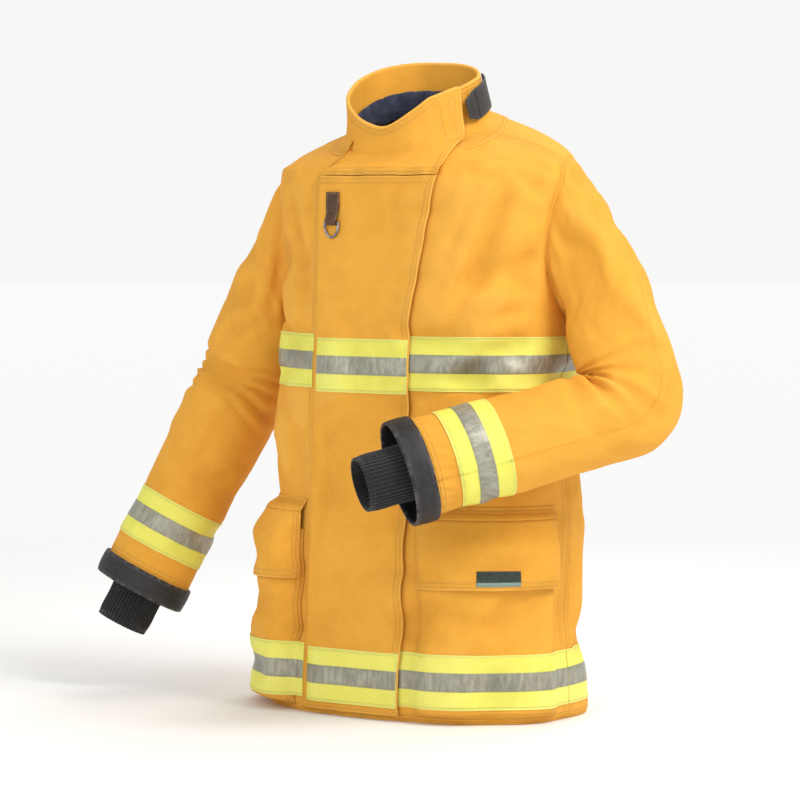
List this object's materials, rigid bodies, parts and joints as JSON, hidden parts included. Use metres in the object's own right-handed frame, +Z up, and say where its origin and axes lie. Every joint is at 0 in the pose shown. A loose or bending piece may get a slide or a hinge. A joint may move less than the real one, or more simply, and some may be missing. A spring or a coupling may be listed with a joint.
{
  "type": "turnout coat",
  "caption": "Firefighter's turnout coat as worn, with a stand collar, storm flap over a zip, bellows pockets, reflective trim, and one forearm held across the front.",
  "frame": {"origin": "middle of the back, in the lower edge of the hem, in the plane the hem stands on", "axes": "+Z up the coat, -Y out of the front, +X towards the wearer's left sleeve"},
  "size_m": [0.9139, 0.4816, 0.9029],
  "materials": {
    "gold_fabric": "matt twill woven outer shell cloth",
    "lime_tape": "lime-yellow tape with a silver retroreflective centre stripe",
    "black_knit": "ribbed knit",
    "black_leather": "matt black cuff binding",
    "navy_lining": "quilted thermal lining",
    "barrier_film": "smooth film laminated to thin cloth",
    "black_webbing": "woven tape and hook-and-loop",
    "brass": "worn satin",
    "brown_leather": "dark brown, matt",
    "dull_steel": "dull",
    "label": "dark woven patch, left blank"
  },
  "bodies": {
    "torso": {"outer_shell_back": "gold_fabric", "outer_shell_right_front": "gold_fabric", "outer_shell_left_front": "gold_fabric", "collar_shell": "gold_fabric", "collar_facing": "gold_fabric", "right_pocket": "gold_fabric", "left_pocket": "gold_fabric", "right_shoulder_sleeve": "gold_fabric", "left_shoulder_sleeve": "gold_fabric", "moisture_barrier": "barrier_film", "thermal_liner": "navy_lining", "zip_tape_right": "black_webbing", "zip_tape_left": "black_webbing", "zip_teeth_right": "brass", "zip_teeth_left": "brass", "front_loop_strip": "black_webbing", "chest_trim_right": "lime_tape", "chest_trim_left": "lime_tape", "chest_trim_back": "lime_tape", "hem_trim_right": "lime_tape", "hem_trim_left": "lime_tape", "hem_trim_back": "lime_tape", "right_pocket_loop": "black_webbing", "left_pocket_loop": "black_webbing"},
    "storm_flap": {"storm_flap": "gold_fabric", "storm_flap_hook": "black_webbing", "storm_flap_chest_trim": "lime_tape", "storm_flap_hem_trim": "lime_tape", "dee_tab": "brown_leather"},
    "dee_ring": {"dee_ring": "dull_steel"},
    "right_pocket_flap": {"right_pocket_flap": "gold_fabric", "right_pocket_flap_hook": "black_webbing"},
    "left_pocket_flap": {"left_pocket_flap": "gold_fabric", "left_pocket_flap_hook": "black_webbing", "pocket_label": "label"},
    "zip_slider": {"zip_slider": "brass"},
    "zip_pull": {"zip_pull": "brass"},
    "throat_tab": {"throat_tab": "black_webbing"},
    "hanger_loop": {"hanger_loop": "black_webbing"},
    "right_upper_sleeve": {"right_upper_sleeve": "gold_fabric", "right_upper_lining": "navy_lining", "right_elbow_sleeve": "gold_fabric"},
    "right_forearm": {"right_forearm_sleeve": "gold_fabric", "right_forearm_lining": "navy_lining", "right_sleeve_trim": "lime_tape", "right_cuff_band": "black_leather", "right_wristlet": "black_knit", "right_sleeve_well": "black_knit"},
    "left_upper_sleeve": {"left_upper_sleeve": "gold_fabric", "left_upper_lining": "navy_lining", "left_elbow_sleeve": "gold_fabric"},
    "left_forearm": {"left_forearm_sleeve": "gold_fabric", "left_forearm_lining": "navy_lining", "left_sleeve_trim": "lime_tape", "left_cuff_band": "black_leather", "left_wristlet": "black_knit", "left_sleeve_well": "black_knit"}
  },
  "joints": [
    {"name": "left_shoulder_turn", "type": "hinge", "parent": "torso", "child": "left_upper_sleeve", "pos_m": [0.228, -0.12225, 0.705], "axis": [-0.3826, 0.0906, 0.9195], "range_deg": [0, 70], "stiffness_Nm_per_rad": 10, "deforming": ["left_shoulder_sleeve"]},
    {"name": "storm_flap_open", "type": "hinge", "parent": "torso", "child": "storm_flap", "pos_m": [-0.09822, -0.29017, 0.38029], "axis": [0, -0.0495, -0.9988], "range_deg": [0, 105]},
    {"name": "left_elbow_bend", "type": "hinge", "parent": "left_upper_sleeve", "child": "left_forearm", "pos_m": [0.342, -0.14925, 0.431], "axis": [-0.6838, 0.6415, -0.3477], "range_deg": [-75, 5], "stiffness_Nm_per_rad": 8, "deforming": ["left_elbow_sleeve"]},
    {"name": "right_shoulder_swing", "type": "hinge", "parent": "torso", "child": "right_upper_sleeve", "pos_m": [-0.228, -0.12225, 0.705], "axis": [-1, 0, 0], "range_deg": [-10, 45], "stiffness_Nm_per_rad": 10, "deforming": ["right_shoulder_sleeve"]},
    {"name": "right_elbow_bend", "type": "hinge", "parent": "right_upper_sleeve", "child": "right_forearm", "pos_m": [-0.331, -0.14425, 0.446], "axis": [-0.9291, -0.0049, 0.3699], "range_deg": [-8, 50], "stiffness_Nm_per_rad": 8, "deforming": ["right_elbow_sleeve"]},
    {"name": "right_pocket_flap_lift", "type": "hinge", "parent": "torso", "child": "right_pocket_flap", "pos_m": [-0.21222, -0.24776, 0.27772], "axis": [-0.6483, 0.7614, 0], "range_deg": [0, 60]},
    {"name": "left_pocket_flap_lift", "type": "hinge", "parent": "torso", "child": "left_pocket_flap", "pos_m": [0.18942, -0.26283, 0.27757], "axis": [-0.7807, -0.6249, 0], "range_deg": [0, 70]},
    {"name": "zip_slide", "type": "slide", "parent": "torso", "child": "zip_slider", "axis": [0, -0.0506, -0.9987], "range_m": [0, 0.66]},
    {"name": "zip_pull_swing", "type": "hinge", "parent": "zip_slider", "child": "zip_pull", "pos_m": [0, -0.27956, 0.704], "axis": [0, -0.9987, 0.0506], "range_deg": [-35, 35]},
    {"name": "throat_tab_swing", "type": "hinge", "parent": "torso", "child": "throat_tab", "pos_m": [0.06429, -0.11126, 0.87019], "axis": [-0.2435, -0.0215, 0.9697], "range_deg": [0, 150]},
    {"name": "hanger_loop_flip", "type": "hinge", "parent": "torso", "child": "hanger_loop", "pos_m": [0, -0.04282, 0.79947], "axis": [-1, 0, 0], "range_deg": [0, 90]},
    {"name": "dee_ring_swing", "type": "hinge", "parent": "storm_flap", "child": "dee_ring", "pos_m": [-0.07112, -0.28473, 0.67964], "axis": [-0.9952, 0.0979, 0], "range_deg": [0, 80]}
  ],
  "couplings": [
    {"joint": "storm_flap_open", "follows": "left_shoulder_turn", "ratio": 1.5}
  ]
}
